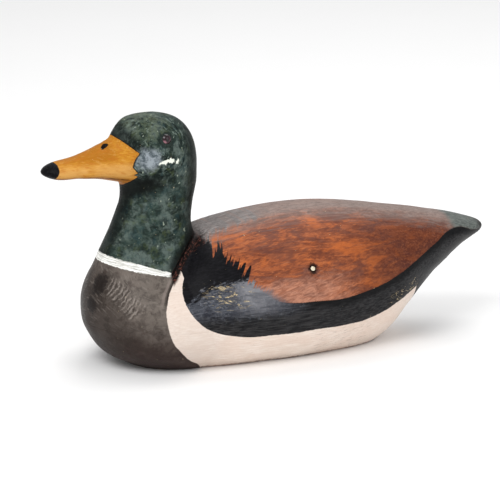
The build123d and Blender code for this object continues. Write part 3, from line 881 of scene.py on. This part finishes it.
def face_details(t, colour):
    """White chip, bill, black nail, nostrils and the rim round the eye."""
    # The chip lies behind the cheek on the left side, and is broken in one place.
    line = t.curve(
        t.y,
        [(-112, 169.8), (-107, 171.2), (-101, 173.0), (-96, 173.8),
         (-93, 172.8), (-91, 171.6), (-88, 174.0)],
    )
    thin = t.step(t.y, -99, -108, to=(0.0, 1.2))
    chip = t.mul(
        t.step(t.add(t.size(t.sub(t.z, line)), t.mul(t.ragged, 5.0), thin), 2.0, 1.3),
        t.step(t.fray(t.y, 4.0), -107.5, -106),
        t.step(t.fray(t.y, 4.0), -88, -89.5),
        t.step(t.x, 10, 14),
        t.step(t.size(t.add(t.y, 92.4)), 0.5, 1.0),
    )
    colour = t.mix(chip, colour, rgb(230, 234, 222))
    # The jagged edge between the green and the yellow.
    face = t.curve(
        t.z,
        [(150, -131), (154.5, -129), (157.5, -126), (161, -122.2), (162.6, -125.6), (164.2, -122.6),
         (167, -125), (169.5, -127), (172.5, -126.4), (176.5, -124.6), (181, -121.8), (186.2, -128.2),
         (190.8, -133.6), (192.6, -136.2), (200, -147)],
        "VECTOR",
    )
    bill = t.add(t.sub(face, t.y), t.mul(t.ragged, 0.9), t.mul(t.fine, 0.8))
    bill = t.lowest(bill, t.sub(t.z, 149.0))
    yellow = t.mix(t.step(t.brush, 0.3, 0.75), rgb(176, 114, 28), rgb(200, 142, 52))
    crown = t.mul(t.step(t.fray(t.z, 5.0), 172, 179), t.step(t.y, -134, -146))
    yellow = t.over(yellow, rgb(158, 96, 20), crown, 0.75)
    pale = t.mul(t.step(t.z, 176, 169), t.step(t.z, 158, 162), t.step(t.broad, 0.3, 0.6))
    yellow = t.over(yellow, rgb(206, 158, 92), pale, 0.6)
    smear = t.noise(t.stretch((0.42, 0.10, 0.42), (-12, 0, 0)), 1.0, 4.0, 0.65)
    yellow = t.over(yellow, rgb(176, 104, 34), t.step(smear, 0.52, 0.64), 0.5)
    yellow = t.over(yellow, rgb(222, 172, 104), t.step(smear, 0.46, 0.36), 0.2)
    jaw = t.curve(
        t.y,
        [(-196, 166.5), (-188, 163.6), (-165, 162.4), (-150, 161.6), (-138, 159.5), (-126, 157.5)],
    )
    # Painted shade along the lower edge of the bill.
    low_edge = t.fray(t.sub(t.z, jaw), 2.0)
    yellow = t.over(yellow, rgb(138, 84, 38), t.step(low_edge, 3.0, -0.5), 0.7)
    # Painted shade: a darker line along the lower edge of the bill.
    shade_line_offset = t.size(t.add(t.sub(t.z, jaw), t.mul(t.ragged, 0.7), 0.2))
    shade_line = t.mul(t.step(shade_line_offset, 0.8, 0.3), t.step(t.y, -124, -130))
    yellow = t.over(yellow, rgb(58, 32, 20), shade_line, t.step(smear, 0.36, 0.5), 0.75)
    # Painted shade: browner along the bill next to the face.
    face_edge_shade = t.mul(t.step(t.sub(face, t.y), 4.5, 0.5), t.step(t.noise(t.p, 0.9, 2.0), 0.45, 0.60))
    yellow = t.over(yellow, rgb(150, 92, 40), face_edge_shade, 0.6)
    outline = t.mul(t.step(bill, -1.6, -0.4), t.step(t.z, 149, 152), t.step(t.y, -100, -112))
    colour = t.over(colour, rgb(14, 14, 16), outline, 0.92)
    colour = t.mix(t.step(bill, -0.2, 0.3), colour, yellow)
    # The nail at the tip of the bill, then the nostril.
    cap = t.curve(
        t.z,
        [(160, -192), (166, -189.8), (171, -187.8), (174, -187.6), (177, -190.0), (182, -195)],
    )
    nail = t.sub(t.fray(cap, 1.0), t.y)
    black = t.mix(t.step(t.ragged, -0.1, 0.15), rgb(7, 7, 9), rgb(22, 22, 26))
    colour = t.mix(t.step(nail, -0.3, 0.3), colour, black)
    run_y, run_z = NOSTRIL_RUN
    off_y, off_z = t.add(t.y, -NOSTRIL_Y), t.add(t.z, -NOSTRIL_Z)
    along = t.add(t.mul(off_y, run_y), t.mul(off_z, run_z))
    across = t.add(t.mul(off_y, -run_z), t.mul(off_z, run_y))
    slit = t.add(t.math("POWER", t.mul(along, 0.28), 2.0), t.math("POWER", t.mul(across, 0.75), 2.0))
    slit = t.mul(t.step(slit, 1.15, 0.85), t.step(t.z, 178, 180))
    colour = t.mix(slit, colour, rgb(16, 10, 8))
    from_eye = t.fray(t.distance(EYE_Y, EYE_Z), 2.0)
    rim = t.mul(t.step(from_eye, 7.2, 5.8), t.step(t.side, 10, 14))
    return t.over(colour, rgb(16, 21, 19), rim, 0.45)


def wear(t, colour):
    """Knocks through the paint to primer and wood, and bare wood inside the tie pocket."""
    knocks = t.noise(t.stretch((0.20, 0.085, 0.36), (-9, 0, 0), (3, 9, 5)), 1.0, 5.0, 0.72, 1.3)
    # On the slate shoulder, and along the lower edge of the black band.
    scrape = t.mul(
        t.step(t.y, -86, -74),
        t.step(t.y, -38, -52),
        t.step(t.z, 52, 62),
        t.step(t.z, 78, 70),
        t.step(t.x, 40, 50),
    )
    rim = t.mul(
        t.step(t.y, 84, 92),
        t.step(t.y, 124, 114),
        t.step(t.size(t.add(t.sub(t.z, t.under), -6.0)), 6.0, 3.0),
        t.step(t.x, 20, 30),
    )
    worn = t.mul(t.step(knocks, 0.56, 0.60), t.highest(scrape, t.mul(rim, 0.9)))
    few = t.step(t.noise(t.stretch((0.45, 0.3, 0.45), shift=(17, 0, 0)), 1.0, 2.0, 0.6), 0.755, 0.775)
    t.worn = t.highest(worn, t.mul(few, 0.8))
    bare = t.mix(t.step(t.fine, -0.2, 0.2), rgb(140, 122, 92), rgb(214, 196, 160))
    colour = t.mix(t.worn, colour, bare)
    # Darker in and round the pit of the brad.
    from_brad = t.fray(t.distance(BRAD[1], BRAD[2]), 5.0)
    brad_darkening = t.mul(t.step(from_brad, 5.5, 3.0), t.step(t.x, 50, 55))
    colour = t.over(colour, rgb(22, 13, 10), brad_darkening, 0.9)
    half_w, half_l, depth, _, y = POCKET
    pocket = t.mul(
        t.step(t.side, half_w + 0.3, half_w + 0.1),
        t.step(t.size(t.add(t.y, -y)), half_l + 0.3, half_l + 0.1),
        t.step(t.z, depth + 0.3, depth + 0.1),
        t.step(t.z, 0.05, 0.6),
    )
    fibre = t.mix(t.step(t.streak, 0.4, 0.6), rgb(120, 88, 58), rgb(168, 132, 92))
    colour = t.mix(pocket, colour, fibre)
    # The joint of the two blocks shows through the paint as a broken hairline.
    t.hairline = t.mul(t.step(t.size(t.add(t.z, -SEAM_Z)), 0.28, 0.12), t.step(t.tone, 0.42, 0.55))
    return t.over(colour, rgb(20, 16, 14), t.hairline, 0.06)


def paint():
    """The one coat of paint that all the carved wood shares."""
    t = Tree("painted_wood")
    shared_values(t)
    band = band_edge(t)
    colour = t.mix(t.step(band, -0.25, 0.35), cream_paint(t), dark_paint(t))
    colour = back_paint(t, colour, band)
    colour = breast_paint(t, colour)
    colour = neck_paint(t, colour)
    colour = face_details(t, colour)
    colour = wear(t, colour)
    rough = t.add(0.42, t.mul(t.sub(t.brush, 0.5), 0.35), t.mul(t.sub(t.tone, 0.5), 0.30))
    height = t.add(
        t.mul(t.brush, 0.6),
        t.mul(t.grain, 0.5),
        t.mul(t.noise(t.p, 0.8, 3.0), 0.45),
        t.mul(t.worn, -0.8),
        t.mul(t.hairline, -0.15),
    )
    normal = t.bump(height, 0.35 * MM, 0.6)
    return t.finish(colour, rough, normal, Specular_IOR_Level=0.07)


def glass_eye():
    """Dark purple-brown glass with a black pupil and a soft painted highlight."""
    t = Tree("eye_glass")
    away = t.distance(EYE_Y, EYE_Z)
    flecks = t.noise(t.p, 1.2, 3.0)
    iris = t.mix(t.step(flecks, 0.35, 0.65), rgb(30, 10, 17), rgb(60, 24, 36))
    # Painted highlight: a soft light spot low on the front of the eye.
    eye_highlight = t.step(t.distance(EYE_Y - 2.2, EYE_Z - 1.6), 2.4, 0.6)
    iris = t.over(iris, rgb(168, 112, 124), eye_highlight, 0.7)
    shade = t.step(t.distance(EYE_Y - 0.5, EYE_Z + 2.4), 3.6, 1.8)
    iris = t.over(iris, rgb(16, 6, 10), shade, 0.7)
    colour = t.mix(t.step(away, 3.7, 4.5), iris, rgb(10, 6, 8))
    colour = t.mix(t.step(away, 1.5, 1.1), colour, rgb(16, 6, 10))
    rough = t.add(0.10, t.mul(flecks, 0.10))
    return t.finish(colour, rough, Specular_IOR_Level=0.3, Coat_Weight=0.25, Coat_Roughness=0.08)


def metal(name, light, dark, roughness, scale=0.6):
    """Spotted and streaked metal; a smaller scale makes the spots larger."""
    t = Tree(name)
    spots = t.noise(t.p, scale, 4.0, 0.65)
    streaks = t.noise(t.stretch((2.0, 0.2, 2.0)), 1.0, 3.0, 0.6)
    colour = t.mix(t.step(spots, 0.35, 0.68), light, dark)
    rough = t.add(roughness, t.mul(t.sub(spots, 0.5), 0.4), t.mul(streaks, 0.08))
    normal = t.bump(t.add(spots, t.mul(streaks, 0.4)), 0.15 * MM, 0.5)
    return t.finish(colour, rough, normal, Metallic=1.0)


def bare_wood():
    t = Tree("dowel_wood")
    rings = t.noise(t.stretch((0.8, 0.8, 0.06)), 1.0, 4.0, 0.6, 0.8)
    colour = t.mix(t.step(rings, 0.35, 0.65), rgb(206, 170, 122), rgb(170, 126, 80))
    return t.finish(colour, t.add(0.55, t.mul(rings, 0.2)), t.bump(rings, 0.2 * MM, 0.4))


def putty():
    t = Tree("putty")
    grit = t.noise(t.p, 1.4, 4.0, 0.6)
    colour = t.mix(t.step(grit, 0.35, 0.65), rgb(18, 26, 23), rgb(46, 58, 53))
    rough = t.add(0.6, t.mul(grit, 0.25))
    return t.finish(colour, rough, t.bump(grit, 0.2 * MM, 0.5), Specular_IOR_Level=0.15)


# ---------------------------------------------------------------- build the pieces

def dress(mesh, material):
    mesh.materials.clear()
    mesh.materials.append(material)


def dress_nodes(material, *names):
    for name in names:
        dress(nodes[name].data, material)


def own_piece(name, mesh, material, node):
    """A piece on the decoy that stands in for one CAD node."""
    dress(mesh, material)
    piece = new_object(name, mesh)
    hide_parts(node)
    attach(piece, "decoy")


def sunk_fillers():
    """Putty plugs, pressed in to lie just under the coat of paint."""
    mesh = nodes["nail_fillers"].data.copy()
    co = coords(mesh)
    for x, y in FILLERS:
        for side in (-1, 1):
            own = np.hypot(co[:, 0] / MM - side * x, co[:, 1] / MM - y) < FILLER_REACH
            foot = co[own, 2].min()
            co[own, 2] = foot + FILLER_PRESSED * (co[own, 2] - foot)
    mesh.vertices.foreach_set("co", co.ravel())
    mesh.update()
    return mesh


skin = whole_skin()
sand(skin)
carve(skin)
head_room = cutter(head_block)
head_mesh = boolean(skin, head_room, "INTERSECT")
body_mesh = boolean(skin, head_room)
below_seam = cutter(lower_room)
upper_mesh = boolean(boolean(body_mesh, below_seam), cutter(pit))
lower_mesh = boolean(boolean(body_mesh, below_seam, "INTERSECT"), cutter(underside_holes))
detail_head(head_mesh)
head_mesh = boolean(head_mesh, cutter(sockets))
painted = paint()
own_piece("carved_head", head_mesh, painted, "head")
own_piece("carved_upper_body", upper_mesh, painted, "upper_body")
own_piece("carved_lower_body", lower_mesh, painted, "lower_body")

dress_nodes(glass_eye(), "left_eye", "right_eye")
putty_material = putty()
dress_nodes(putty_material, "eye_putty")
own_piece("putty_plugs", sunk_fillers(), putty_material, "nail_fillers")
dress_nodes(bare_wood(), "neck_dowels", "body_dowels")
bright = metal("bright_steel", rgb(232, 226, 206), rgb(176, 160, 130), 0.34, 1.5)
dress_nodes(bright, "side_brad")
nail_steel = metal("nail_steel", rgb(190, 184, 170), rgb(120, 104, 84), 0.36)
dress_nodes(nail_steel, "body_nails")
steel = metal("steel", rgb(150, 150, 150), rgb(96, 84, 76), 0.4)
dress_nodes(steel, "head_screw", "head_screw_washer")
lead = metal("lead", rgb(96, 99, 104), rgb(142, 142, 140), 0.55, 0.12)
dress_nodes(lead, "ballast_weight")
brass = metal("brass", rgb(158, 124, 62), rgb(84, 62, 34), 0.38)
dress_nodes(brass, "ballast_screws", "line_tie_staple", "line_tie_ring")

# ---------------------------------------------------------------- floor, light and camera

FLOOR_HALF = 4.0                  # metres, as are AIM and the distances from it
FLOOR_WHITE = (0.93, 0.93, 0.93)
AIM = Vector((0, 0, 0.100))


def floor_paint():
    t = Tree("floor")
    darker = tuple(c * 0.985 for c in FLOOR_WHITE)
    return t.finish(t.mix(t.noise(t.p, 0.01, 2.0), FLOOR_WHITE, darker), 0.9)


def face_the_decoy(ob, azimuth, elevation, distance):
    """Stands the object round the decoy, azimuth degrees from its bill towards its left."""
    a, e = radians(azimuth), radians(elevation)
    ob.location = AIM + Vector((sin(a) * cos(e), -cos(a) * cos(e), sin(e))) * distance
    ob.rotation_euler = (AIM - ob.location).to_track_quat("-Z", "Y").to_euler()


def light(name, azimuth, elevation, distance, width, power):
    """A soft square lamp."""
    data = bpy.data.lights.new(name, "AREA")
    data.size = width
    data.energy = power
    face_the_decoy(new_object(name, data), azimuth, elevation, distance)


floor = bpy.data.meshes.new("floor")
corners = [(x * FLOOR_HALF, y * FLOOR_HALF, 0) for x, y in ((-1, -1), (1, -1), (1, 1), (-1, 1))]
floor.from_pydata(corners, [], [(0, 1, 2, 3)])
floor.materials.append(floor_paint())
new_object("floor", floor)

light("key", azimuth=40, elevation=46, distance=1.7, width=0.9, power=15.0)
light("fill", azimuth=115, elevation=24, distance=2.2, width=1.6, power=10.0)
light("top", azimuth=225, elevation=62, distance=1.7, width=1.2, power=12.0)

world = bpy.data.worlds.new("world")
world.use_nodes = True
sky = world.node_tree.nodes["Background"]
sky.inputs["Color"].default_value = (1.0, 1.0, 1.0, 1.0)
sky.inputs["Strength"].default_value = 0.6
bpy.context.scene.world = world

SENSOR, LENS = 36.0, 348.192      # millimetres
SHIFT = (-0.0306, -0.044)         # moves the decoy a little right and up in the frame
camera_data = bpy.data.cameras.new("camera")
camera_data.sensor_width = SENSOR
camera_data.lens = LENS
camera_data.shift_x, camera_data.shift_y = SHIFT
camera = new_object("camera", camera_data)
face_the_decoy(camera, azimuth=65, elevation=15, distance=4.0)
bpy.context.scene.camera = camera
bpy.context.scene.view_settings.view_transform = "Standard"
